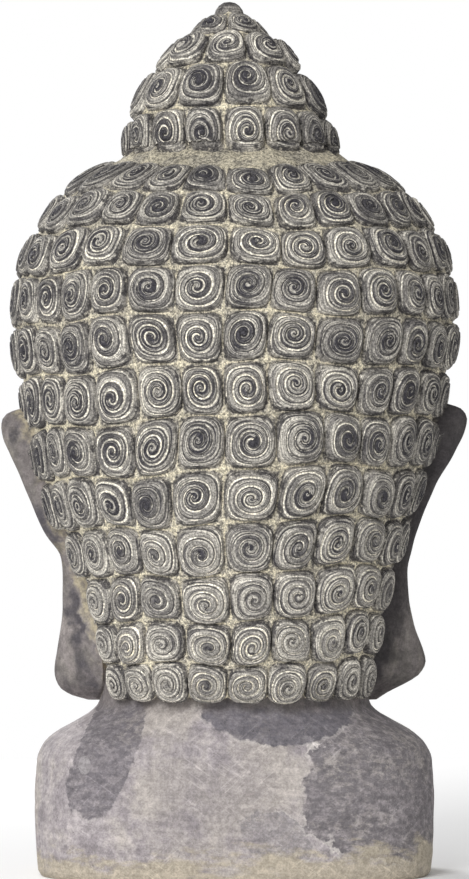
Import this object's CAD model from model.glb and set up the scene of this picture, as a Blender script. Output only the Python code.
import math

import bpy
import numpy as np
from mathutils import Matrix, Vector, kdtree, noise


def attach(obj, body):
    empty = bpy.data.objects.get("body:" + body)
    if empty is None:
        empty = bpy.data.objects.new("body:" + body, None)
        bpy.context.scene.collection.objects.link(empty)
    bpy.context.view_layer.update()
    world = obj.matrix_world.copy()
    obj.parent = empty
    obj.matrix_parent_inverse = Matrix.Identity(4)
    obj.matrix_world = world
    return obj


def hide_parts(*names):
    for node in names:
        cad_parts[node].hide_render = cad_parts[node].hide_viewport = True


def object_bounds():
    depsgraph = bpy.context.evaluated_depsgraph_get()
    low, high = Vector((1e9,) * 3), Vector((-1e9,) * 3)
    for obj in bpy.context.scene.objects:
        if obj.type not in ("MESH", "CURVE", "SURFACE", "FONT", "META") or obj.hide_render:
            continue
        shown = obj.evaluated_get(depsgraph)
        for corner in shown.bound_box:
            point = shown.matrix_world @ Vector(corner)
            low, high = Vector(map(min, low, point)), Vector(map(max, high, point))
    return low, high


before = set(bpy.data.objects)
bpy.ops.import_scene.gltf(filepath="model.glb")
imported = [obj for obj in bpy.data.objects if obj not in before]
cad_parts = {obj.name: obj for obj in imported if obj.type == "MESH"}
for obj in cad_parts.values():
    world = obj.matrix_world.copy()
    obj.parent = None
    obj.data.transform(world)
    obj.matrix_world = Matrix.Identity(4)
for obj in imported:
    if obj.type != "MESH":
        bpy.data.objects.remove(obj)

# The statue is worked out in millimetres on a height of 600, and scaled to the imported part's height
CAD_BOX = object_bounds()
TALL = 600.0
SCALE = float(CAD_BOX[1][2] - CAD_BOX[0][2]) / TALL
SEED = 11

# Unevenness of the whole surface: its size, the closeness of its long and short waves, the share of
# the short ones, the heights in metres over which it starts, and the angle past which edges are sharp
UNEVENNESS = 0.9
LONG_WAVES = 28
SHORT_WAVES = 75
SHORT_SHARE = 0.5
UNEVEN_START = (0.001, 0.012)
SHARP_ANGLE = 60

# Hair: rows of curls from the nape up as (height at the back, curls, reach from the back in degrees,
# curls left out at the end by the +X ear)
HEAD_ROWS = [
    (134, 10, 72, 1), (162, 10, 74, 1), (192, 10, 76, 1), (224, 12, 83, 1), (257, 12, 81, 0),
    (293, 14, 86, 0), (327, 20, 124, 0), (361, 24, 148, 0), (393, 30, 180, 0), (422, 26, 180, 0),
    (445, 26, 180, 0), (467, 22, 180, 0),
]
TOPKNOT_ROWS = [(504, 16, 180, 0), (537, 12, 180, 0), (564, 9, 180, 0), (582, 6, 180, 0)]
CURL_HEIGHT = 11.0
TOPKNOT_CURL_HEIGHT = 12.0
ROW_GAP = 0.6
NAPE_EDGE = 121.0
CROWN_EDGE = 475.0
TOPKNOT_FOOT = 487.0
TIP_FOOT = 588.0
TIP_RADIUS = 10.5
NAPE_SCALLOP = 5.0
HAIR_STEP_BACK = 30.0
UNDER_STEP_BACK = 36.0
HAIR_END_WALL = 3.0

# Columns of curls: shift at the back in degrees, spread there, the reach past which a row has no
# spread, and the height of a row from which its curls stand out in full
COLUMN_SHIFT = -2.7
COLUMN_SPREAD = 0.12
WIDE_ROW = 100.0
FULL_ROW = 22.0

# A curl: cells along each side, the cord that winds round it as places across the cord with the
# share of the groove's depth there, how many whorls it has, the eye's size in whorls, how square its
# outline is, depth of its groove, lift of the stone round it, more at the corners of its cell, and
# how far its top falls to the edge as a share
CELLS = 6
CORD_PLACES = (0.0, 0.3, 0.7)
CORD_RELIEF = (1.0, 0.06, 0.06)
WHORLS = 3
SMALL_WHORLS = 2
CURL_EYE = 0.36
CURL_SQUARENESS = 1.9
GROOVE_DEPTH = 1.9
VALLEY_LIFT = 3.5
CORNER_LIFT = 1.8
DOME_FALL = 0.18

# Ranges of chance from curl to curl: share of its cell that it fills, wander of its eye and of the
# whole curl as shares of the cell, wear of its grooves, and share of the full height
CURL_REACH = (0.96, 1.0)
EYE_WANDER = 0.1
CURL_WANDER = 0.03
CURL_WEAR = (0.65, 1.1)
CURL_RISE = (0.92, 1.05)

# Facts of the stone between curls, at the ends of rows and at the knob: distance from a curl's middle,
# more at the corners of a cell, and depth of a groove
WEB_REACH = 1.25
CORNER_REACH = 0.1
END_REACH = 0.9
WEB_GROOVE = 0.3

# The knob on top: corners of its rings, heights of the rings as shares, and roundness
TIP_SIDES = 24
TIP_RINGS = (0.0, 0.3, 0.55, 0.78, 0.93)
TIP_ROUNDNESS = 2.4

# Slight hand-made wander of columns in degrees and rows in millimetres, each as waves of (size,
# waves round the head, fall of the phase with height, phase), and heights over which it starts and eases
COLUMN_WAVES = ((0.8, 3, 21, 0.0), (0.7, 7, -33, 1.3))
ROW_WAVES = ((1.3, 4, 47, 0.6), (1.2, 9, 29, 0.0))
WANDER_START = (128, 150)
WANDER_EASE = (470, 500)
WANDER_LOSS = 0.6

# Heights of the face and the ears
FACE_FOOT = 149.0
FACE_TOP = 478.0
FACE_SQUARENESS = 2.2
EAR_TOP = 322.0
EAR_FOOT = 118.5


def profile(points):
    """Curve through (height, value) pairs, without overshoot."""
    z, v = np.array(points, float).T
    slopes = np.diff(v) / np.diff(z)
    before = np.concatenate((slopes[:1], slopes))
    after = np.concatenate((slopes, slopes[-1:]))
    same = before * after > 0
    tangents = np.where(same, 2 * before * after / np.where(same, before + after, 1), 0)

    def value(height):
        h = np.clip(height, z[0], z[-1])
        i = np.clip(np.searchsorted(z, h) - 1, 0, len(z) - 2)
        span = z[i + 1] - z[i]
        t = (h - z[i]) / span
        s = 1 - t
        ends = v[i] * (1 + 2 * t) * s * s + v[i + 1] * (3 - 2 * t) * t * t
        return ends + span * t * s * (tangents[i] * s - tangents[i + 1] * t)

    return value


def smooth(low, high, value):
    t = np.clip((value - low) / (high - low), 0, 1)
    return t * t * (3 - 2 * t)


def bell(offset, width):
    return np.exp(-((offset / width) ** 2))


def signed_power(value, power):
    return np.sign(value) * np.abs(value) ** power


# Half-width, depth behind the axis and depth in front of it of the skin under the curls, by height
TOPKNOT = [(496, 64.5), (510, 64), (532, 56.5), (550, 45), (566, 32), (582, 16.5), (592, 8)]
SCALP_SIDE = profile([
    (120, 90), (150, 96), (190, 103), (230, 113), (265, 125), (300, 133), (340, 140), (375, 145),
    (402, 143), (422, 138), (432, 132), (445, 122), (456, 113), (467, 96), (475, 78), (489, 70), *TOPKNOT,
])
SCALP_BACK = profile([
    (120, 97), (150, 112), (180, 126), (210, 137), (240, 145), (270, 150), (300, 153), (336, 154),
    (371, 151), (402, 144.5), (434, 132), (459, 113), (476, 92), (489, 70), *TOPKNOT,
])
SCALP_FRONT = profile([
    (120, 60), (200, 75), (300, 112), (345, 124), (371, 128), (400, 127), (432, 117), (456, 102),
    (476, 86), (489, 70), *TOPKNOT,
])

# How far a row stands higher at the sides than at the back, and how much it falls per mm towards +X
ROW_RISE = profile([
    (240, 0), (300, -3), (361, -3), (410, 0), (440, 5), (467, 10), (476, 11), (488, 3), (504, -3), (520, -5),
    (550, -5), (573, -4), (588, -2.5),
])
ROW_FALL = profile([(NAPE_EDGE, 0), (192, 0.05), (300, 0.04), (360, 0.015), (420, 0)])

# The topknot stands a little to one side
TOPKNOT_LEAN = profile([(478, 0), (505, 3.2), (535, 4.4), (600, 3.4)])

# The head under the hair and the face
FACE_WIDTH = profile([
    (FACE_FOOT, 8), (152, 28), (158, 46), (170, 66), (186, 80), (206, 92), (232, 101), (260, 107.5),
    (290, 113), (315, 118), (340, 125), (365, 130), (395, 128), (430, 112), (460, 84), (FACE_TOP, 30),
])
FACE_FRONT = profile([
    (FACE_FOOT, 88), (152, 106), (158, 116), (168, 121), (186, 122), (210, 124), (240, 126), (280, 129),
    (318, 132), (350, 133), (380, 129), (405, 119), (430, 105), (460, 80), (FACE_TOP, 30),
])
FACE_BACK = profile([
    (FACE_FOOT, 72), (158, 40), (175, 5), (200, -30), (240, -70), (300, -90), (400, -90), (460, -70),
    (FACE_TOP, -20),
])

# Features of the face, by distance out from the middle and height
BROW_INNER = 6.0
BROW_SPAN = 84.0
BROW_UP = 315.0
BROW_RISE = 17.0
EYE_OUT = 44.0
EYE_UP = 298.0
EYE_HALF = 29.0
EYE_TALL = 14.0
NOSE_RIDGE = profile([
    (223, 0), (228, 9), (232, 25), (237, 33), (243, 35), (256, 29), (275, 20), (295, 11), (312, 5), (332, 0),
])
NOSE_HALF = profile([(223, 16), (240, 16.5), (256, 14), (280, 10.5), (312, 9), (332, 12)])
SOCKET_DEPTH = 9.0
BROW_ROLL = 2.2
LID_LIFT = 9.0
LID_CREASE = 1.3
UPPER_LID_EDGE = 1.4
LOWER_LID_EDGE = 1.2
SLIT_DEPTH = 3.6
SLIT_CURVE = 3.5
LIP_LIFT = 7.5
UPPER_LIP = 11.0
LOWER_LIP = 13.0
LIP_BOW = 2.4
MOUTH_UP = 205.0
MOUTH_HALF = 36.0
MOUTH_CURVE = 4.0
# Soft forms as (out, up, wide, tall, lift): nose wing, nostril, philtrum, muzzle, mouth corner, chin,
# the fold above it, and cheek
SOFT_FORMS = (
    (19, 239, 7.5, 8, 13), (11, 227, 4, 3.5, -5), (0, 220, 4, 5, -2), (0, 208, 38, 24, 5),
    (40, 209, 6, 6, -3), (0, 171, 22, 13, 9), (0, 187, 26, 6, -4), (60, 255, 28, 32, 6),
)

# Neck and block
BLOCK_WIDTH = profile([
    (0, 132.5), (3, 134.5), (16, 136), (45, 136.6), (78, 135.4), (88, 131.6), (96, 123.5), (105, 108),
    (112, 97.5), (117, 93.5), (124, 92), (150, 90), (205, 86),
])
BLOCK_BACK = profile([
    (0, 101), (3, 103), (40, 103.5), (85, 101), (105, 95), (124, 90), (150, 92), (205, 95),
])
BLOCK_FRONT = profile([
    (0, 101), (3, 103), (40, 103.5), (80, 101), (92, 92), (104, 78), (116, 70), (135, 69), (160, 72),
    (205, 76),
])
BLOCK_SQUARENESS = profile([(0, 3), (85, 2.8), (116, 2.1), (205, 2)])

# Ears: the rim from behind, where the ear leaves the cheek in front and the hair behind
EAR_RIMS = {
    1: profile([
        (EAR_FOOT, 101), (121.5, 112), (128, 121), (138, 124), (154, 121.5), (175, 118.4), (206, 118),
        (216, 119.4), (231, 129), (256, 140), (288, 154.5), (298, 158.8), (306, 160), (313, 158.6),
        (317, 152), (EAR_TOP, 128),
    ]),
    -1: profile([
        (EAR_FOOT, 98), (124, 106), (129, 116), (137, 128), (145, 131.5), (154, 129.5), (171, 123.5),
        (190, 119.6), (206, 119), (222, 122), (239, 127), (264, 137), (288, 151), (305, 158.2),
        (312, 159.4), (318, 156), (EAR_TOP, 146),
    ]),
}
EAR_RIM_DEPTH = profile([(EAR_FOOT, 4), (150, 9), (215, 13), (260, 20), (EAR_TOP, 21)])
EAR_RIM_ROUND = profile([
    (EAR_FOOT, 3), (123, 9), (132, 13), (160, 13), (210, 11), (250, 8), (305, 8), (317, 6), (EAR_TOP, 2),
])
EAR_ROOT = profile([(EAR_FOOT, 94), (135, 90), (200, 92), (250, 100), (290, 104), (EAR_TOP, 108)])
EAR_ROOT_FRONT = profile([
    (EAR_FOOT, -2), (128, -14), (150, -19), (200, -18), (250, -23), (305, -25), (316, -18), (EAR_TOP, 4),
])
EAR_ROOT_BACK = profile([
    (EAR_FOOT, 8), (128, 24), (150, 31), (230, 36), (305, 37), (316, 34), (EAR_TOP, 22),
])
EAR_BOWL = profile([(EAR_FOOT, 0), (190, 0), (220, 6), (262, 13), (300, 11), (314, 4), (EAR_TOP, 0)])
EAR_FOLD = profile([(EAR_FOOT, 0), (228, 0), (246, 7), (290, 6), (308, 0), (EAR_TOP, 0)])
EAR_SLIT = profile([(EAR_FOOT, 0), (138, 0), (154, 7), (196, 7), (214, 0), (EAR_TOP, 0)])

# Points along the parts of an ear's outline, half the turn of its rolled rim in degrees, how deep its
# root sits in the head, and corners of the block
EAR_FRONT_POINTS = 26
EAR_ROLL_POINTS = 15
EAR_REAR_POINTS = 10
EAR_ROLL_TURN = 88
EAR_INSET = 14
BLOCK_SIDES = 100

# Facts of each vertex of a skin, those that the casting keeps, how near in metres a vertex of it is to
# the hair vertex that it came from, and rounds of smoothing of its hollows
FACTS = 8
KEPT_FACTS = {"groove": 0, "cord": [1, 2, 5], "curl": [3, 4, 5], "reach": 6, "hair": 7}
SAME_PLACE = 0.0004
HOLLOW_ROUNDS = 2


class Skin:
    """Closed skin of triangles, counter-clockwise from outside, with one row of facts per vertex:
    groove depth, place across the cord as cosine and sine, place in the curl, the curl's own
    number, distance from its middle and a hair mark."""

    def __init__(self):
        self.points = []
        self.facts = []
        self.faces = []
        self.count = 0

    def add(self, points, facts=None):
        points = np.asarray(points, float).reshape(-1, 3)
        if facts is None:
            facts = np.zeros((len(points), FACTS))
        self.points.append(points)
        self.facts.append(np.asarray(facts, float).reshape(-1, FACTS))
        first = self.count
        self.count += len(points)
        return np.arange(first, self.count)

    def triangles(self, faces):
        self.faces.append(np.asarray(faces, int).reshape(-1, 3))

    def band(self, lower, upper):
        after_low = np.roll(lower, -1)
        after_high = np.roll(upper, -1)
        self.triangles(np.column_stack((lower, after_low, after_high)))
        self.triangles(np.column_stack((lower, after_high, upper)))

    def fan(self, ring, centre):
        self.triangles(np.column_stack((ring, np.roll(ring, -1), np.full(len(ring), centre))))

    def zip(self, lower, upper):
        """Joins two rings with different numbers of corners, each a list of (turn, index)."""
        past_end = (math.inf, -1)
        low = lower + [(lower[0][0] + 360, lower[0][1]), past_end]
        high = upper + [(upper[0][0] + 360, upper[0][1]), past_end]
        i = 0
        j = 0
        faces = []
        while i < len(lower) or j < len(upper):
            if low[i + 1][0] <= high[j + 1][0]:
                faces.append((low[i][1], low[i + 1][1], high[j][1]))
                i += 1
            else:
                faces.append((low[i][1], high[j + 1][1], high[j][1]))
                j += 1
        self.triangles(faces)

    def arrays(self):
        return np.vstack(self.points), np.vstack(self.facts), np.vstack(self.faces)


# Hair
def sway(turn, level):
    """Wander of columns and rows at a place, in degrees and millimetres."""
    angle = np.radians(turn)

    def wander(waves):
        return sum(size * np.sin(times * angle + level / fall + phase) for size, times, fall, phase in waves)

    fade = smooth(*WANDER_START, level) * (1 - WANDER_LOSS * smooth(*WANDER_EASE, level))
    return wander(COLUMN_WAVES) * fade, wander(ROW_WAVES) * fade


def scalp_surface(turn, level):
    angle = np.radians(turn)
    cosine = np.cos(angle)
    depth = np.where(cosine >= 0, SCALP_BACK(level), SCALP_FRONT(level))
    x = TOPKNOT_LEAN(level) - SCALP_SIDE(level) * np.sin(angle)
    rise = ROW_RISE(level) * np.minimum(1 - cosine, 1) - ROW_FALL(level) * x
    return np.stack((x, depth * cosine, level + rise), axis=-1)


def scalp(turn, level, out):
    turn, level, out = np.broadcast_arrays(*np.atleast_1d(turn, level, out))
    along, rise = sway(turn, level)
    t = turn + along
    z = level + rise
    across = scalp_surface(t + 0.5, z) - scalp_surface(t - 0.5, z)
    up = scalp_surface(t, z + 1) - scalp_surface(t, z - 1)
    normal = np.cross(across, up)
    normal /= np.linalg.norm(normal, axis=-1, keepdims=True)
    return scalp_surface(t, z) + normal * out[:, None]


def square_rim():
    """Corners round a curl's square cell from its lower left, counter-clockwise, in -1 to 1."""
    steps = np.linspace(-1, 1, CELLS + 1)[:-1]
    ones = np.ones(CELLS)
    lower = np.column_stack((steps, -ones))
    right = np.column_stack((ones, steps))
    return np.vstack((lower, right, -lower, -right))


RIM = square_rim()
SECTORS = len(RIM)
RIM_ANGLES = np.unwrap(np.arctan2(RIM[:, 1], RIM[:, 0]))


def curl_grid(whorls, start):
    """A curl's inner points as (turns from the middle, angle, place across the cord), and its
    triangles. Lines of the grid follow the cord, which winds outwards counter-clockwise from the
    start sector; the lines of the last whorl draw in to a closed ring. The last inner point is the
    middle, and point numbers past it are the cell's rim."""
    per = len(CORD_PLACES)
    first = -1
    last = per * (whorls - 1)
    order = (start + np.arange(SECTORS)) % SECTORS
    angles = RIM_ANGLES[order]
    part = ((angles - angles[0]) / (2 * np.pi)) % 1
    lines = np.arange(first, last + per + 1)
    across = np.array(CORD_PLACES)[lines % per]
    base = lines // per + across
    turns = base[:, None] + part[None, :]
    inner = last - first
    squeeze = (base[inner:] - base[inner])[:, None]
    turns[inner:] = turns[inner] + squeeze * (whorls - turns[inner])
    turns = np.append(turns.ravel(), -CURL_EYE)
    angle = np.append(np.tile(angles, len(lines)), 0.0)
    across = np.append(np.repeat(across, SECTORS), 0.5)
    outer = last + per
    middle = len(turns) - 1

    def at(line, sector):
        if sector == SECTORS:
            line = min(line + per, outer)
            sector = 0
        return (line - first) * SECTORS + sector

    def rim(sector):
        return len(turns) + order[sector % SECTORS]

    faces = []
    for line in range(first, outer):
        for s in range(SECTORS):
            a, b = at(line, s), at(line, s + 1)
            d, c = at(line + 1, s), at(line + 1, s + 1)
            faces.append((a, d, c))
            if b != c:
                faces.append((a, c, b))
    faces += [(middle, at(first, s), at(first, (s + 1) % SECTORS)) for s in range(SECTORS)]
    faces += [(at(first, SECTORS - 1), at(line + 1, 0), at(line, 0)) for line in range(first, first + per)]
    for s in range(SECTORS):
        a, b = at(outer, s), at(outer, (s + 1) % SECTORS)
        faces += [(a, rim(s), rim(s + 1)), (a, rim(s + 1), b)]
    return turns, angle, across, np.array(faces)


def dome(reach):
    """Height of a curl at a distance from its middle, as a share of its height there."""
    return np.sqrt(np.clip(1 - reach ** 6, 0, 1)) * (1 - DOME_FALL * reach ** 2)


def valley_facts(along, mark=1.0, reach=WEB_REACH):
    """Facts of points on a cell's rim, which run from -1 to 1 along a side."""
    facts = np.zeros((len(along), FACTS))
    facts[:, 0] = WEB_GROOVE * mark
    facts[:, 6] = (reach + CORNER_REACH * along ** 4) * mark
    facts[:, 7] = mark
    return facts


class HairMaker:
    def __init__(self):
        self.skin = Skin()
        self.random = np.random.default_rng(SEED)
        self.curl_number = 0
        self.levels = np.linspace(-1, 1, CELLS + 1)

    def column(self, turn, foot, head, out, mark=1.0, reach=WEB_REACH):
        if foot < NAPE_EDGE + ROW_GAP:
            foot += NAPE_SCALLOP
        level = (foot + head) / 2 + self.levels * (head - foot) / 2
        if mark:
            out = out + CORNER_LIFT * self.levels ** 4
        points = scalp(np.full(CELLS + 1, turn), level, out)
        return turn, self.skin.add(points, valley_facts(self.levels, mark, reach))

    def edge(self, start, end, level, scallop=0.0):
        turns = np.linspace(start, end, CELLS + 1)[1:-1]
        along = self.levels[1:-1]
        points = scalp(turns, level + scallop * along ** 2, VALLEY_LIFT + CORNER_LIFT * along ** 4)
        return list(zip(turns, self.skin.add(points, valley_facts(along))))

    def curl(self, left, right, foot, head, lift, whorls):
        start, end = left[0], right[0] if right[0] > left[0] else right[0] + 360
        lower = self.edge(start, end, foot, NAPE_SCALLOP if foot < NAPE_EDGE + ROW_GAP else 0.0)
        upper = self.edge(start, end, head)
        rim = np.concatenate((
            left[1][:1], [index for _, index in lower], right[1],
            [index for _, index in upper][::-1], left[1][:0:-1],
        ))
        pick = self.random
        turns, angle, across, faces = curl_grid(whorls, int(pick.integers(SECTORS)))
        reach = (turns + CURL_EYE) / (whorls + CURL_EYE)
        unit = np.column_stack((np.cos(angle), np.sin(angle)))
        power = 2 + CURL_SQUARENESS * reach ** 6
        stretch = (np.abs(unit) ** power[:, None]).sum(axis=1) ** (-1 / power)
        place = pick.uniform(*CURL_REACH) * (reach * stretch)[:, None] * unit
        place = place + (1 - reach[:, None] ** 2) * pick.uniform(-EYE_WANDER, EYE_WANDER, 2)
        place = place + pick.uniform(-CURL_WANDER, CURL_WANDER, 2)
        relief = np.interp(across, CORD_PLACES, CORD_RELIEF)
        wear = pick.uniform(*CURL_WEAR)
        height = VALLEY_LIFT + (lift * pick.uniform(*CURL_RISE) - VALLEY_LIFT) * dome(reach)
        height -= GROOVE_DEPTH * wear * relief * smooth(0.0, 0.1, reach) * (1 - reach ** 12)
        columns = (start + end) / 2 + place[:, 0] * (end - start) / 2
        levels = (foot + head) / 2 + place[:, 1] * (head - foot) / 2
        self.curl_number += 1
        number = np.full(len(turns), self.curl_number)
        whole = 2 * np.pi * across
        groove = relief * wear * smooth(0.02, 0.12, reach) * (1 - smooth(0.92, 1, reach))
        facts = np.column_stack((
            groove, np.cos(whole), np.sin(whole), reach[:, None] * unit, number, reach, np.ones(len(turns)),
        ))
        inner = self.skin.add(scalp(columns, levels, height), facts)
        self.skin.triangles(np.concatenate((inner, rim))[faces])
        return [(left[0], left[1][0])] + lower, [(left[0], left[1][-1])] + upper

    def plain(self, left, right):
        for i in range(CELLS):
            a, b = left[1][i], right[1][i]
            c, d = right[1][i + 1], left[1][i + 1]
            self.skin.triangles([(a, b, c), (a, c, d)])
        return [(left[0], left[1][0])], [(left[0], left[1][-1])]

    def row(self, row, foot, head, full_lift, whorls):
        _, curls, reach, left_out = row
        lift = full_lift * min(1.0, (head - foot) / FULL_ROW)
        step = 2 * reach / curls
        feet = []
        heads = []

        def keep(rings):
            feet.extend(rings[0])
            heads.extend(rings[1])

        if reach == 180:
            turns = -180 + step * np.arange(curls) + COLUMN_SHIFT
            columns = [self.column(t, foot, head, VALLEY_LIFT) for t in turns]
            for i, left in enumerate(columns):
                keep(self.curl(left, columns[(i + 1) % curls], foot, head, lift, whorls))
            return feet, heads
        part = np.linspace(-1, 1, curls + 1)[left_out:]
        spread = COLUMN_SPREAD if reach < WIDE_ROW else 0.0
        turns = reach * part * (1 + spread * (1 - np.abs(part))) + COLUMN_SHIFT * (1 - part * part)
        ends = (turns[0], turns[-1])
        columns = []
        for t in turns:
            edge_reach = END_REACH if t in ends else WEB_REACH
            columns.append(self.column(t, foot, head, VALLEY_LIFT, reach=edge_reach))
        hidden_before = np.linspace(-180, turns[0] - HAIR_END_WALL, 4)
        hidden_after = np.linspace(turns[-1] + HAIR_END_WALL, 180, 4)[:-1]
        before = [self.column(t, foot, head, -HAIR_STEP_BACK, 0) for t in hidden_before]
        after = [self.column(t, foot, head, -HAIR_STEP_BACK, 0) for t in hidden_after]
        for left, right in zip(before, before[1:] + columns[:1]):
            keep(self.plain(left, right))
        for left, right in zip(columns, columns[1:]):
            keep(self.curl(left, right, foot, head, lift, whorls))
        for left, right in zip(columns[-1:] + after, after + before[:1]):
            keep(self.plain(left, right))
        return feet, heads

    def rows(self, rows, start, finish, lift, whorls):
        heights = [row[0] for row in rows]
        middles = [(a + b) / 2 for a, b in zip(heights, heights[1:])]
        limits = [start, *middles, finish]
        return [
            self.row(row, limits[i] + ROW_GAP / 2, limits[i + 1] - ROW_GAP / 2, lift, whorls[i])
            for i, row in enumerate(rows)
        ]

    def tip(self):
        """The knob on top: rings that shrink to a round end."""
        turns = -180 + 360 / TIP_SIDES * np.arange(TIP_SIDES)
        angle = np.radians(turns)
        rings = []
        for part in TIP_RINGS:
            radius = TIP_RADIUS * math.sqrt(1 - part ** TIP_ROUNDNESS)
            level = TIP_FOOT + (TALL - TIP_FOOT) * part
            x = TOPKNOT_LEAN(level) - radius * np.sin(angle)
            points = np.column_stack((x, radius * np.cos(angle), np.full(TIP_SIDES, level)))
            facts = np.tile((0, 1, 0, 1 - part, 0, 0, END_REACH, 1), (TIP_SIDES, 1))
            rings.append(self.skin.add(points, facts))
        for low, high in zip(rings, rings[1:]):
            self.skin.band(low, high)
        top = self.skin.add([(TOPKNOT_LEAN(TALL), 0, TALL)], [(0, 1, 0, 0, 0, 0, END_REACH, 1)])[0]
        self.skin.fan(rings[-1], top)
        return list(zip(turns, rings[0]))

    def build(self):
        head_whorls = [WHORLS] * len(HEAD_ROWS)
        topknot_whorls = [WHORLS, WHORLS, SMALL_WHORLS, SMALL_WHORLS]
        rings = self.rows(HEAD_ROWS, NAPE_EDGE, CROWN_EDGE, CURL_HEIGHT, head_whorls)
        rings += self.rows(TOPKNOT_ROWS, TOPKNOT_FOOT, TIP_FOOT, TOPKNOT_CURL_HEIGHT, topknot_whorls)
        for (_, heads), (feet, _) in zip(rings, rings[1:]):
            self.skin.zip(heads, feet)
        self.skin.zip(rings[-1][1], self.tip())
        under = rings[0][0]
        turns = np.array([turn for turn, _ in under])
        inner = self.skin.add(scalp(turns, NAPE_EDGE, -UNDER_STEP_BACK))
        self.skin.band(inner, np.array([index for _, index in under]))
        centre = self.skin.add([(0, 0, NAPE_EDGE)])[0]
        self.skin.fan(inner[::-1], centre)
        return self.skin


# Face
def brow_arch(x):
    return BROW_RISE * np.sin(np.pi * np.clip((x - BROW_INNER) / BROW_SPAN, 0, 1) ** 0.85)


def mouth_curve(x):
    return MOUTH_CURVE * np.minimum((x / MOUTH_HALF) ** 2, 1)


def brow_relief(x, height):
    below = BROW_UP + brow_arch(x) - height
    beside_nose = smooth(7, 20, x) * (1 - smooth(64, 94, x))
    socket = -SOCKET_DEPTH * smooth(0, 8, below) * (1 - smooth(16, 46, below)) * beside_nose
    return socket + BROW_ROLL * bell(below + 2, 5) * smooth(8, 24, x) * (1 - smooth(70, 94, x))


def eye_relief(x, height):
    """Lowered lid with its crease, the slit under it and the edges of both lids."""
    across = (x - EYE_OUT) / EYE_HALF
    reach = across ** 2 + ((height - EYE_UP) / EYE_TALL) ** 2
    inside = 1 - smooth(0.75, 1, np.abs(across))
    above = height - (EYE_UP - EYE_TALL / 2 + SLIT_CURVE * across ** 2)
    lid = LID_LIFT * np.clip(1 - reach, 0, 1) ** 0.6
    crease = -LID_CREASE * bell(np.sqrt(reach) - 1.08, 0.08) * smooth(2, 6, above)
    edges = UPPER_LID_EDGE * bell(above - 3, 1.6) + LOWER_LID_EDGE * bell(above + 3.4, 1.8)
    return lid + crease + (edges - SLIT_DEPTH * bell(above, 1.5)) * inside


def mouth_relief(x, height):
    across = x / MOUTH_HALF
    above = height - MOUTH_UP - mouth_curve(x)
    span = np.sqrt(np.clip(1 - across ** 2, 0, 1))
    tall = np.where(above > 0, UPPER_LIP - LIP_BOW * bell(x, 5), LOWER_LIP)
    part = np.minimum(np.abs(above) / (tall * span + 0.01), 1)
    return LIP_LIFT * span * smooth(0, 0.35, part) * (1 - part ** 2) ** 0.6


def face_relief(side, height):
    """How far each feature stands forward of the plain head, mirrored left and right."""
    x = np.abs(side)
    relief = NOSE_RIDGE(height) * np.exp(-((x / NOSE_HALF(height)) ** 2.4))
    for out, up, wide, tall, lift in SOFT_FORMS:
        relief = relief + lift * bell(x - out, wide) * bell(height - up, tall)
    return relief + brow_relief(x, height) + eye_relief(x, height) + mouth_relief(x, height)


def line_height(x, level):
    """Height of a line of the face's grid: near the brows and the lips the lines follow them."""
    near_brow = smooth(BROW_UP - 16, BROW_UP, level) * (1 - smooth(BROW_UP + 16, BROW_UP + 54, level))
    over_mouth = 1 - smooth(MOUTH_UP + 8, MOUTH_UP + 20, level)
    near_mouth = smooth(MOUTH_UP - 26, MOUTH_UP - 8, level) * over_mouth
    return level + brow_arch(x) * near_brow + mouth_curve(x) * near_mouth


def face_point(turn, level):
    """Turn is in degrees from straight ahead, growing towards +X."""
    angle = np.radians(turn)
    power = 2 / FACE_SQUARENESS
    sine, cosine = np.sin(angle), np.cos(angle)
    x = FACE_WIDTH(level) * signed_power(sine, power)
    height = line_height(np.abs(x), level)
    front = FACE_FRONT(height)
    centre = (front + FACE_BACK(height)) / 2
    ahead = centre + (front - centre) * signed_power(cosine, power)
    facing = smooth(0, 0.35, cosine) * smooth(FACE_FOOT, FACE_FOOT + 12, height)
    return np.stack((x, -ahead - face_relief(x, height) * facing, height), axis=-1)


def ring_skin(rings, foot, top):
    """Closed skin from rings of points stacked upwards, with a point at each end."""
    skin = Skin()
    indices = [skin.add(ring) for ring in rings]
    for low, high in zip(indices, indices[1:]):
        skin.band(low, high)
    skin.fan(indices[-1], skin.add([top])[0])
    skin.fan(indices[0][::-1], skin.add([foot])[0])
    return skin


def face_skin():
    fine = np.linspace(-66, 66, 89)
    coarse = np.array([70, 75, 82, 90, 105, 130, 155])
    turns = np.concatenate((fine, coarse, [180], -coarse[::-1]))
    levels = np.concatenate((
        FACE_FOOT + np.array([0, 1, 2.5, 4.5, 7, 10]), np.arange(162, 346, 2.0), np.arange(347, 400, 4),
        [410, 430, 455, FACE_TOP],
    ))
    rings = [face_point(turns, np.full(len(turns), level)) for level in levels]

    def middle(height):
        return (0, -float(FACE_FRONT(height) + FACE_BACK(height)) / 2, height)

    return ring_skin(rings, middle(FACE_FOOT), middle(FACE_TOP))


# Ears
def ear_relief(part, level):
    """How far the front of an ear lies back: its bowl, the fold in it and the slit of the lobe."""
    fold = EAR_FOLD(level) * bell(part - 0.64, 0.13)
    slit = EAR_SLIT(level) * bell(part - 0.5, 0.17)
    return EAR_BOWL(level) * np.sin(np.pi * part) - fold + slit


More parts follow.
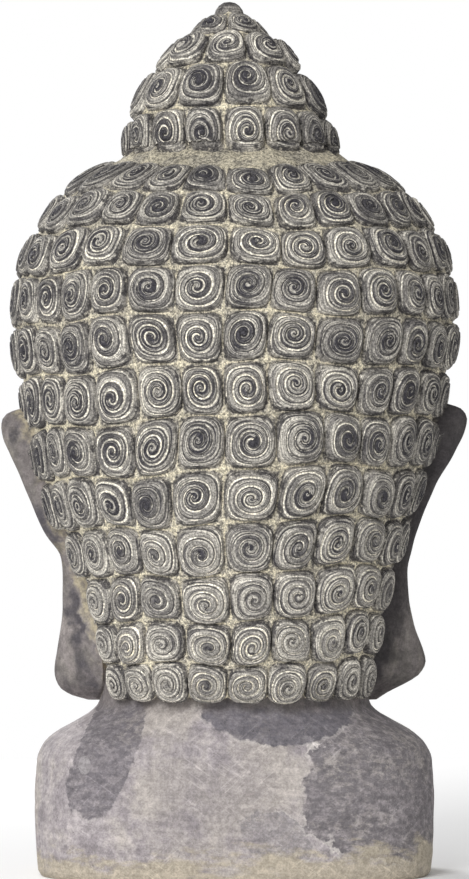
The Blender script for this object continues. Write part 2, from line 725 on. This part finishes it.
def ear_section(side, level):
    rim, depth, around = EAR_RIMS[side](level), EAR_RIM_DEPTH(level), EAR_RIM_ROUND(level)
    root, front, back = EAR_ROOT(level), EAR_ROOT_FRONT(level), EAR_ROOT_BACK(level)
    centre = rim - around
    part = np.linspace(0, 1, EAR_FRONT_POINTS)[:-1]
    shell = np.column_stack((
        root + (centre - root) * part,
        front + (depth - around - front) * part + ear_relief(part, level),
    ))
    turn = np.radians(np.linspace(-EAR_ROLL_TURN, EAR_ROLL_TURN, EAR_ROLL_POINTS))
    roll = np.column_stack((centre + around * np.cos(turn), depth + around * np.sin(turn)))
    part = np.linspace(0, 1, EAR_REAR_POINTS)[1:]
    rear = np.column_stack((
        centre + (root - centre) * part,
        depth + around + (back - depth - around) * part,
    ))
    inside = np.array([[root - EAR_INSET, (front + back) / 2]])
    return np.vstack((inside, shell, roll, rear))


def ear_skin(side):
    levels = np.concatenate((
        EAR_FOOT + np.array([0, 0.6, 1.6, 3, 5, 7.5]), np.arange(129, 314, 3.2),
        EAR_TOP - np.array([7, 5, 3.4, 2, 0.8, 0]),
    ))
    rings = []
    for level in levels:
        flat = ear_section(side, level)
        ring = np.column_stack((side * flat[:, 0], flat[:, 1], np.full(len(flat), level)))
        rings.append(ring if side > 0 else ring[::-1])

    def middle(level):
        return (side * float(EAR_RIMS[side](level) + EAR_ROOT(level)) / 2, float(EAR_RIM_DEPTH(level)), level)

    return ring_skin(rings, middle(EAR_FOOT), middle(EAR_TOP))


# Neck and block
def block_skin():
    angle = 2 * np.pi * (np.arange(BLOCK_SIDES) + 0.5) / BLOCK_SIDES
    sine, cosine = np.sin(angle), np.cos(angle)
    levels = np.concatenate(([0, 0.7, 1.6, 3], np.arange(6, 128, 2.8), [135, 150, 170, 205]))
    rings = []
    for level in levels:
        power = 2 / BLOCK_SQUARENESS(level)
        depth = np.where(sine > 0, BLOCK_BACK(level), BLOCK_FRONT(level))
        x = BLOCK_WIDTH(level) * signed_power(cosine, power)
        y = depth * signed_power(sine, power)
        rings.append(np.column_stack((x, y, np.full(BLOCK_SIDES, level))))
    return ring_skin(rings, (0, 0, 0), (0, 0, levels[-1]))


# One casting from the parts
def add_object(name, data):
    thing = bpy.data.objects.new(name, data)
    bpy.context.scene.collection.objects.link(thing)
    return thing


def mesh_object(name, skin):
    points, _, faces = skin.arrays()
    mesh = bpy.data.meshes.new(name)
    mesh.from_pydata((points * SCALE).tolist(), [], faces.tolist())
    mesh.update()
    return add_object(name, mesh)


def unite(base, others):
    for other in others:
        join = base.modifiers.new("union", "BOOLEAN")
        join.operation = "UNION"
        join.solver = "MANIFOLD"
        join.object = other
    depsgraph = bpy.context.evaluated_depsgraph_get()
    mesh = bpy.data.meshes.new_from_object(base.evaluated_get(depsgraph))
    base.modifiers.clear()
    old = base.data
    base.data = mesh
    bpy.data.meshes.remove(old)
    for other in others:
        bpy.data.objects.remove(other)


def carry_facts(thing, skin):
    """Gives each vertex of the casting the facts of the hair vertex it came from."""
    points, facts, _ = skin.arrays()
    tree = kdtree.KDTree(len(points))
    for i, point in enumerate(points * SCALE):
        tree.insert(point, i)
    tree.balance()
    count = len(thing.data.vertices)
    found = np.zeros((count, FACTS))
    for i, vertex in enumerate(thing.data.vertices):
        _, index, distance = tree.find(vertex.co)
        if distance < SAME_PLACE:
            found[i] = facts[index]
    for name, columns in KEPT_FACTS.items():
        put(thing.data, name, found[:, columns])


def rows_of(items, name, wide, kind=float):
    values = np.empty(len(items) * wide, kind)
    items.foreach_get(name, values)
    return values.reshape(-1, wide)


def mark_hollows(mesh):
    """Gives each vertex how far it lies below its neighbours, as a share of their distance."""
    count = len(mesh.vertices)
    points = rows_of(mesh.vertices, "co", 3)
    normals = rows_of(mesh.vertex_normals, "vector", 3)
    ends = rows_of(mesh.edges, "vertices", 2, int)
    both = np.vstack((ends, ends[:, ::-1]))
    gap = points[both[:, 1]] - points[both[:, 0]]
    length = np.linalg.norm(gap, axis=1)
    rise = (gap * normals[both[:, 0]]).sum(axis=1)
    near = np.maximum(np.bincount(both[:, 0], minlength=count), 1)
    hollow = np.bincount(both[:, 0], rise / np.maximum(length, 1e-6), count) / near
    for _ in range(HOLLOW_ROUNDS):
        hollow = 0.5 * hollow + 0.5 * np.bincount(both[:, 0], hollow[both[:, 1]], count) / near
    put(mesh, "hollow", hollow)


def roughen(mesh):
    """Shifts the surface a little in and out, as a hand-made mould leaves it, but not the underside."""
    normals = rows_of(mesh.vertex_normals, "vector", 3)
    places = rows_of(mesh.vertices, "co", 3)
    wave = []
    for place in map(Vector, places):
        wave.append(noise.noise(place * LONG_WAVES) + SHORT_SHARE * noise.noise(place * SHORT_WAVES))
    shift = UNEVENNESS * SCALE * np.array(wave) * smooth(*UNEVEN_START, places[:, 2])
    mesh.vertices.foreach_set("co", (places + normals * shift[:, None]).ravel())
    mesh.update()


def put(mesh, name, values):
    """Keeps a number or a vector for each vertex."""
    kind, slot = ("FLOAT", "value") if values.ndim == 1 else ("FLOAT_VECTOR", "vector")
    made = mesh.attributes.new(name, kind, "POINT")
    made.data.foreach_set(slot, values.astype(np.float32).ravel())


hair = HairMaker().build()
head = mesh_object("buddha_head_cast", block_skin())
parts = [mesh_object("face", face_skin()), mesh_object("hair", hair)]
parts += [mesh_object("ear", ear_skin(side)) for side in (1, -1)]
unite(head, parts)
carry_facts(head, hair)
mark_hollows(head.data)
roughen(head.data)
head.data.polygons.foreach_set("use_smooth", np.ones(len(head.data.polygons), bool))
head.data.set_sharp_from_angle(angle=math.radians(SHARP_ANGLE))
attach(head, "root")
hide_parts("buddha_head")


# Stone: colours of the hair and of what lies between the curls
SLATE = ((0.026, 0.0245, 0.031), (0.068, 0.065, 0.072))
FLANK = ((0.15, 0.141, 0.134), (0.31, 0.292, 0.262))
PALE_STRAND = (0.62, 0.585, 0.51)
DARK_STRAND = (0.03, 0.028, 0.034)
GROOVE_SHADE = (0.034, 0.032, 0.036)
GROOVE_WASH = (0.82, 0.78, 0.68)
CURL_RIM = (0.04, 0.037, 0.04)
WEB_STONE = ((0.07, 0.066, 0.065), (0.48, 0.445, 0.37))
WEB_WASH = (0.68, 0.615, 0.46)

# Colours of the face, ears and neck
SKIN_STONE = ((0.16, 0.146, 0.138), (0.33, 0.3, 0.278))
SKIN_SLATE = (0.085, 0.078, 0.082)
SKIN_PALE = (0.42, 0.385, 0.33)
SKIN_LILAC = (0.27, 0.235, 0.238)
SKIN_WASH = (0.52, 0.485, 0.4)
EAR_STREAK = (0.1, 0.092, 0.1)
EAR_BUFF = (0.43, 0.375, 0.265)
EAR_SLATE = (0.06, 0.055, 0.062)

# Colours of the block
BLOCK_STONE = ((0.3, 0.27, 0.281), (0.46, 0.418, 0.421))
BLOCK_WARM = (0.47, 0.428, 0.375)
BLOCK_SHADE = (0.26, 0.236, 0.246)
BLOCK_FOOT = (0.46, 0.405, 0.315)
STAIN_EDGE = (0.58, 0.54, 0.515)

# Places in metres over which the hair changes: rows that get paler flanks, paler low rows, the foot of
# the topknot, where the bare band starts and ends, and the stone beside the paler ear, out and up
FLANK_ROWS = (0.3, 0.15)
LOW_ROWS = (0.28, 0.16)
TOPKNOT_START = (0.48, 0.52)
BARE_BAND = ((0.468, 0.478), (0.488, 0.496))
BY_EAR_OUT = (0.085, 0.115)
BY_EAR_UP = (0.37, 0.33)

# The same for the plain stone: from neck to block, the darker ear, and the upper part of the other ear
NECK_UP = (0.135, 0.118)
DARK_EAR_OUT = (-0.075, -0.11)
DARK_EAR_BACK = (-0.03, 0.0)
UPPER_EAR_OUT = (0.1, 0.13)
UPPER_EAR_UP = (0.25, 0.3)

# Line on the back of an ear beside the hair: distance out at the ground and per metre of height, its
# unevenness, how far from it the streak, the buff wash and the slate reach, and where they start
EAR_LINE_FOOT = 0.041
EAR_LINE_SLOPE = 0.34
EAR_LINE_UNEVEN = 0.03
STREAK_GAP = ((0.001, 0.006), (0.01, 0.018))
BUFF_GAP = (0.004, -0.003)
SLATE_GAP = (0.022, 0.012)
EAR_BEHIND = (0.0, 0.012)
EAR_UP = (0.118, 0.13)

# Buff foot of the block: drift of its edge, where the edge fades, and its rise towards one side
FOOT_DRIFT = -0.09
FOOT_EDGE = (-0.024, -0.036)
FOOT_SIDE = (-0.03, -0.09)
FOOT_RISE = 0.006

# Stains on the back of the block: place across and up, half sizes along and across the tilt, tilt in
# degrees, squareness of the outline, unevenness of the edge, how far it is worn through, how plain
# the pale line along its edge is, and its colour
BLOCK_STAINS = (
    ((0.0863, 0.085), (0.043, 0.0185), -69.0, 3.6, 0.25, 0.5, 0.25, (0.17, 0.156, 0.168)),
    ((-0.104, 0.066), (0.056, 0.052), 12.0, 3.0, 0.6, 0.65, 0.8, (0.178, 0.164, 0.172)),
    ((-0.0275, 0.119), (0.053, 0.0275), 4.0, 2.0, 0.2, 0.25, 0.3, (0.15, 0.14, 0.156)),
    ((-0.027, 0.03), (0.026, 0.017), 20.0, 1.6, 0.6, 0.8, 0.4, (0.29, 0.268, 0.272)),
    ((0.1005, 0.0775), (0.0042, 0.0062), 0.0, 2.0, 0.2, 0.3, 0.9, (0.3, 0.28, 0.285)),
)


class Nodes:
    """Short calls for building a material's nodes."""

    def __init__(self, name):
        self.material = bpy.data.materials.new(name)
        self.material.use_nodes = True
        self.tree = self.material.node_tree
        self.shader = self.tree.nodes["Principled BSDF"]

    def feed(self, socket, value):
        if isinstance(value, bpy.types.NodeSocket):
            self.tree.links.new(value, socket)
        else:
            socket.default_value = value

    def node(self, kind, inputs=None, **settings):
        """Outputs of a new node of a kind, with its inputs by name or number."""
        made = self.tree.nodes.new(kind)
        for name, value in settings.items():
            setattr(made, name, value)
        for socket, value in (inputs or {}).items():
            self.feed(made.inputs[socket], value)
        return made.outputs

    def attribute(self, name, output="Fac"):
        return self.node("ShaderNodeAttribute", attribute_name=name)[output]

    def math(self, operation, a, b=0.0):
        return self.node("ShaderNodeMath", {0: a, 1: b}, operation=operation)[0]

    def times(self, product, *others):
        for other in others:
            product = self.math("MULTIPLY", product, other)
        return product

    def plus(self, total, *others):
        for other in others:
            total = self.math("ADD", total, other)
        return total

    def less(self, a, b):
        return self.math("SUBTRACT", a, b)

    def ramp(self, value, low, high, start=0.0, end=1.0):
        inputs = dict(enumerate((value, low, high, start, end)))
        return self.node("ShaderNodeMapRange", inputs, interpolation_type="SMOOTHSTEP")[0]

    def window(self, value, rise, fall):
        """Rises from 0 to 1 over one pair of values, and falls to 0 over another."""
        return self.times(self.ramp(value, *rise), self.ramp(value, *fall[::-1]))

    def vector(self, operation, a, b, output=0):
        return self.node("ShaderNodeVectorMath", {0: a, 1: b}, operation=operation)[output]

    def scale(self, vector, share):
        return self.node("ShaderNodeVectorMath", {0: vector, "Scale": share}, operation="SCALE")[0]

    def parts(self, vector):
        return self.node("ShaderNodeSeparateXYZ", {0: vector})

    def noise(self, vector, scale, detail=3.0, rough=0.55):
        inputs = {"Vector": vector, "Scale": scale, "Detail": detail, "Roughness": rough}
        return self.node("ShaderNodeTexNoise", inputs)[0]

    def mix(self, share, a, b):
        a, b = ((*colour, 1.0) if isinstance(colour, tuple) else colour for colour in (a, b))
        return self.node("ShaderNodeMix", {0: share, 6: a, 7: b}, data_type="RGBA")[2]


class Stone(Nodes):
    """The casting's stone: the colours of its hair, its plain skin and its block."""

    def __init__(self):
        super().__init__("weathered_stone")
        self.place = self.node("ShaderNodeTexCoord")["Object"]
        self.across, self.depth, self.height = self.parts(self.place)
        self.patchy = self.noise(self.place, 22.0, 4.0)
        self.blotch = self.noise(self.place, 75.0)
        self.ragged = self.noise(self.place, 260.0)
        self.grain = self.noise(self.place, 800.0, 2.0, 0.7)
        self.hollow = self.attribute("hollow")
        self.hair = self.attribute("hair")

    def strands(self):
        """Fine lines that follow the cord of a curl."""
        curl = self.attribute("curl", "Vector")
        cord = self.attribute("cord", "Vector")
        seed = self.parts(curl)[2]
        along = self.vector("MULTIPLY", curl, (1.1, 1.1, 0.0))
        place = self.vector("ADD", along, self.vector("MULTIPLY", cord, (1.7, 1.7, 0.0)))
        own = self.times(seed, 3.7)
        inputs = {"Vector": place, "W": own, "Scale": 0.75, "Detail": 4.0, "Roughness": 0.72}
        return self.node("ShaderNodeTexNoise", inputs, noise_dimensions="4D")[0]

    def uneven(self, noise, size):
        """A noise that goes as far below zero as above it."""
        return self.times(self.less(noise, 0.5), size)

    def streaks(self, stretch, detail=5.0, rough=0.65, turn=0.0):
        """A noise drawn out along the axes, turned by so many degrees in the plane of the back."""
        inputs = {"Vector": self.place, "Angle": math.radians(turn)}
        turned = self.node("ShaderNodeVectorRotate", inputs, rotation_type="Y_AXIS")[0]
        return self.noise(self.vector("MULTIPLY", turned, stretch), 1.0, detail, rough)

    def hair_colour(self, strand):
        """Dark tops, paler flanks, wash in the grooves and yellower wash between the curls."""
        reach = self.attribute("reach")
        groove = self.attribute("groove")
        dark = self.mix(self.patchy, *SLATE)
        flank = self.mix(self.patchy, *FLANK)
        worn = self.ramp(self.height, *FLANK_ROWS, 0.0, 0.5)
        out = self.plus(reach, worn, self.times(self.blotch, 0.9))
        colour = self.mix(self.ramp(out, 0.75, 1.4), dark, flank)
        lit = self.times(self.ramp(strand, 0.51, 0.58), self.ramp(reach, 0.3, 0.9, 0.6, 0.9))
        colour = self.mix(lit, colour, PALE_STRAND)
        colour = self.mix(self.ramp(strand, 0.47, 0.39, 0.0, 0.9), colour, DARK_STRAND)
        line = self.plus(groove, self.times(self.ragged, 0.8))
        inner = self.ramp(self.parts(self.attribute("cord", "Vector"))[1], 0.0, -0.3)
        shadow = self.times(self.window(groove, (0.12, 0.3), (0.55, 0.72)), inner, 0.7)
        colour = self.mix(shadow, colour, GROOVE_SHADE)
        wash = self.times(self.ramp(line, 0.98, 1.25), self.ramp(self.blotch, 0.36, 0.56, 0.4))
        colour = self.mix(wash, colour, GROOVE_WASH)
        return self.scale(self.between_curls(colour, reach), self.worn_rows())

    def worn_rows(self):
        """Paler low rows, where the wash is worn less off, a paler topknot and a greyer band under it."""
        low = self.ramp(self.height, *LOW_ROWS, 1.0, 1.18)
        high = self.ramp(self.height, *TOPKNOT_START, 1.12, 1.15)
        band = self.window(self.height, *BARE_BAND)
        return self.times(low, self.less(high, self.times(band, 0.22)))

    def between_curls(self, colour, reach):
        """Mottled stone round the curls, broken dark rims and a thin yellower wash between them."""
        edge = self.plus(reach, self.uneven(self.ragged, 0.45))
        mottle = self.ramp(self.noise(self.place, 430.0, 3.0, 0.7), 0.4, 0.6)
        stone = self.mix(mottle, *WEB_STONE)
        colour = self.mix(self.ramp(edge, 0.96, 1.05, 0.0, 0.9), colour, stone)
        rim = self.window(edge, (0.88, 0.96), (0.99, 1.06))
        rim = self.times(rim, self.ramp(self.blotch, 0.45, 0.6, 0.85, 0.0))
        colour = self.mix(rim, colour, CURL_RIM)
        broken = self.times(
            self.ramp(self.blotch, 0.38, 0.56, 0.4), self.ramp(self.patchy, 0.4, 0.56, 0.7),
            self.ramp(mottle, 0.0, 0.6, 0.45),
        )
        by_ear = self.times(self.ramp(self.across, *BY_EAR_OUT), self.ramp(self.height, *BY_EAR_UP))
        broken = self.math("MAXIMUM", broken, self.times(by_ear, 0.9))
        web = self.times(self.ramp(edge, 1.08, 1.22), broken)
        return self.mix(web, colour, WEB_WASH)

    def patch(self, middle, half, tilt, power):
        """How far each point is from the middle of a stain on the back of the block; 1 is its edge."""
        angle = math.radians(tilt)
        offset = self.vector("SUBTRACT", self.place, (middle[0], 0.0, middle[1]))
        ways = ((math.cos(angle), math.sin(angle)), (-math.sin(angle), math.cos(angle)))
        powers = []
        for (side, up), size in zip(ways, half):
            part = self.vector("DOT_PRODUCT", offset, (side / size, 0.0, up / size), "Value")
            powers.append(self.math("POWER", self.math("ABSOLUTE", part), power))
        return self.math("POWER", self.plus(*powers), 1.0 / power)

    def stained(self, colour, stain, mottle):
        """A slate stain, worn through in places, with a pale line along part of its ragged edge."""
        middle, half, tilt, power, ragged, wear, edge, slate = stain
        far = self.patch(middle, half, tilt, power)
        far = self.plus(far, self.uneven(self.blotch, ragged), self.uneven(self.ragged, 0.15))
        behind = self.ramp(self.depth, 0.0, 0.02)
        inside = self.times(self.ramp(far, 1.04, 0.98), behind)
        worn = self.ramp(mottle, 0.42, 0.62, 1.0, 1.0 - wear)
        colour = self.mix(self.times(inside, worn), colour, slate)
        line = self.window(far, (0.98, 1.01), (1.03, 1.07))
        line = self.times(line, self.ramp(self.patchy, 0.48, 0.56, 0.0, edge), behind)
        return self.mix(line, colour, STAIN_EDGE)

    def block_colour(self):
        """Lilac-grey block with warm smears, slate stains, brushed lines and a buff foot."""
        mottle = self.noise(self.place, 60.0, 6.0, 0.7)
        colour = self.mix(self.ramp(mottle, 0.34, 0.66), *BLOCK_STONE)
        warm = self.ramp(self.noise(self.place, 15.0, 5.0, 0.65), 0.47, 0.62, 0.0, 0.55)
        colour = self.mix(warm, colour, BLOCK_WARM)
        shade = self.ramp(self.noise(self.place, 11.0, 5.0, 0.65), 0.5, 0.64, 0.0, 0.45)
        colour = self.mix(shade, colour, BLOCK_SHADE)
        fine = self.streaks((140.0, 140.0, 240.0), 6.0, 0.75)
        for stain in BLOCK_STAINS:
            colour = self.stained(colour, stain, fine)
        drift = self.streaks((20.0, 20.0, 55.0))
        foot = self.plus(self.height, self.times(drift, FOOT_DRIFT))
        foot = self.plus(foot, self.ramp(self.across, *FOOT_SIDE, 0.0, -FOOT_RISE))
        colour = self.mix(self.ramp(foot, *FOOT_EDGE, 0.0, 0.85), colour, BLOCK_FOOT)
        level = self.ramp(self.streaks((18.0, 18.0, 300.0), 4.0, turn=4.0), 0.3, 0.7, 0.9, 1.1)
        slant = self.ramp(self.streaks((34.0, 34.0, 500.0), 4.0, turn=36.0), 0.55, 0.66, 0.0, 0.3)
        steep = self.ramp(self.streaks((30.0, 30.0, 460.0), 4.0, turn=-42.0), 0.56, 0.66, 0.0, 0.26)
        slant = self.times(self.math("MAXIMUM", slant, steep), self.ramp(self.patchy, 0.44, 0.58))
        pits = self.ramp(self.noise(self.place, 420.0, 2.0), 0.3, 0.24, 0.0, 0.45)
        return self.scale(colour, self.less(self.plus(level, slant), pits))

    def skin_colour(self):
        """Grey-brown stone of the face, ears and neck, with wash in its hollows."""
        colour = self.mix(self.ramp(self.patchy, 0.34, 0.66), *SKIN_STONE)
        smear = self.streaks((34.0, 34.0, 10.0), rough=0.62)
        colour = self.mix(self.ramp(smear, 0.5, 0.62, 0.0, 0.75), colour, SKIN_SLATE)
        colour = self.mix(self.ramp(smear, 0.44, 0.36, 0.0, 0.5), colour, SKIN_PALE)
        lilac = self.ramp(self.blotch, 0.4, 0.6, 0.0, 0.4)
        colour = self.mix(lilac, colour, SKIN_LILAC)
        colour = self.beside_hair(colour)
        sunk = self.plus(self.hollow, self.times(self.ragged, 0.1))
        colour = self.mix(self.ramp(sunk, 0.1, 0.3, 0.0, 0.8), colour, SKIN_WASH)
        shaded = self.times(self.ramp(self.across, *DARK_EAR_OUT), self.ramp(self.depth, *DARK_EAR_BACK))
        upper = self.times(self.ramp(self.across, *UPPER_EAR_OUT), self.ramp(self.height, *UPPER_EAR_UP))
        shaded = self.plus(shaded, self.times(upper, 0.45))
        return self.scale(colour, self.ramp(shaded, 0.0, 1.0, 1.0, 0.6))

    def beside_hair(self, colour):
        """Buff wash along the hair on the back of one ear, and slate there on the other."""
        out = self.math("ABSOLUTE", self.across)
        line = self.plus(self.times(self.height, EAR_LINE_SLOPE), EAR_LINE_FOOT)
        gap = self.plus(self.less(out, line), self.uneven(self.blotch, EAR_LINE_UNEVEN))
        behind = self.times(self.ramp(self.depth, *EAR_BEHIND), self.ramp(self.height, *EAR_UP))
        one = self.ramp(self.across, -0.02, 0.02)
        other = self.less(1.0, one)
        broken = self.ramp(self.patchy, 0.44, 0.54)
        streak = self.times(self.window(gap, *STREAK_GAP), broken, one, behind)
        colour = self.mix(streak, colour, EAR_STREAK)
        thin = self.ramp(self.ragged, 0.38, 0.58, 0.45)
        buff = self.times(self.ramp(gap, *BUFF_GAP, 0.0, 0.85), one, thin, behind)
        colour = self.mix(buff, colour, EAR_BUFF)
        slate = self.times(self.ramp(gap, *SLATE_GAP, 0.0, 0.7), other, behind)
        return self.mix(slate, colour, EAR_SLATE)

    def finish(self):
        strand = self.strands()
        low = self.ramp(self.plus(self.height, self.times(self.blotch, 0.02)), *NECK_UP)
        plain = self.mix(low, self.skin_colour(), self.block_colour())
        plain = self.scale(plain, self.ramp(self.ragged, 0.3, 0.7, 0.84, 1.16))
        colour = self.mix(self.hair, plain, self.hair_colour(strand))
        rough_share = self.ramp(self.hair, 0.0, 1.0, 0.3)
        speckle = self.times(self.ramp(self.grain, 0.28, 0.72, -0.55, 0.55), rough_share)
        self.feed(self.shader.inputs["Base Color"], self.scale(colour, self.plus(speckle, 1.0)))
        self.feed(self.shader.inputs["Roughness"], self.ramp(self.patchy, 0.3, 0.7, 0.78, 0.95))
        self.shader.inputs["Specular IOR Level"].default_value = 0.25
        lined = self.times(strand, self.hair, 1.2)
        relief = {"Strength": 0.5, "Distance": 0.0012, "Height": self.plus(self.grain, lined)}
        self.feed(self.shader.inputs["Normal"], self.node("ShaderNodeBump", relief)[0])
        return self.material


head.data.materials.clear()
head.data.materials.append(Stone().finish())


# Floor, light and camera: the floor's colour and half its width, and the strength of the backdrop as a
# light and as it is seen
FLOOR_PALE = (0.92, 0.92, 0.92)
FLOOR_HALF = 1.6
BACKDROP_LIGHT = 0.45
BACKDROP_SEEN = 1.0


def floor_material():
    made = Nodes("pale_floor")
    place = made.node("ShaderNodeTexCoord")["Object"]
    shade = made.mix(made.noise(place, 6.0), FLOOR_PALE, tuple(c * 0.985 for c in FLOOR_PALE))
    made.feed(made.shader.inputs["Base Color"], shade)
    made.feed(made.shader.inputs["Roughness"], 0.9)
    return made.material


def add_floor():
    mesh = bpy.data.meshes.new("floor")
    corners = [(FLOOR_HALF * x, FLOOR_HALF * y, 0) for x, y in ((-1, -1), (1, -1), (1, 1), (-1, 1))]
    mesh.from_pydata(corners, [], [(0, 1, 2, 3)])
    floor = add_object("floor", mesh)
    mesh.materials.append(floor_material())


def aim(thing, target):
    thing.rotation_euler = (Vector(target) - thing.location).to_track_quat("-Z", "Y").to_euler()


def add_lamp(name, place, target, size, power):
    lamp = bpy.data.lights.new(name, "AREA")
    lamp.size = size
    lamp.energy = power
    thing = add_object(name, lamp)
    thing.location = place
    aim(thing, target)


def add_camera():
    camera = bpy.data.cameras.new("camera")
    camera.sensor_fit = "VERTICAL"
    camera.sensor_height = 24.0
    distance = 3.1
    eye = (0.0, distance, 0.225)
    look = (0.0, 0.0, 0.2977)
    frame_height = 0.606
    camera.lens = camera.sensor_height * distance / frame_height
    thing = add_object("camera", camera)
    thing.location = eye
    aim(thing, look)
    bpy.context.scene.camera = thing


def add_world():
    """White backdrop that lights the object at part strength."""
    world = bpy.data.worlds.new("studio")
    world.use_nodes = True
    tree = world.node_tree
    background = tree.nodes["Background"]
    background.inputs[0].default_value = (1.0, 1.0, 1.0, 1.0)
    seen = tree.nodes.new("ShaderNodeLightPath").outputs["Is Camera Ray"]
    strength = tree.nodes.new("ShaderNodeMapRange")
    tree.links.new(seen, strength.inputs[0])
    strength.inputs[3].default_value = BACKDROP_LIGHT
    strength.inputs[4].default_value = BACKDROP_SEEN
    tree.links.new(strength.outputs[0], background.inputs[1])
    bpy.context.scene.world = world
    bpy.context.scene.view_settings.view_transform = "Standard"


add_floor()
add_world()
lit_place = (0.0, 0.0, 0.3)
add_lamp("key", (0.9, 2.55, 1.3), lit_place, size=1.1, power=58.0)
add_lamp("front_key", (1.2, -2.4, 1.5), lit_place, size=1.2, power=56.0)
add_camera()
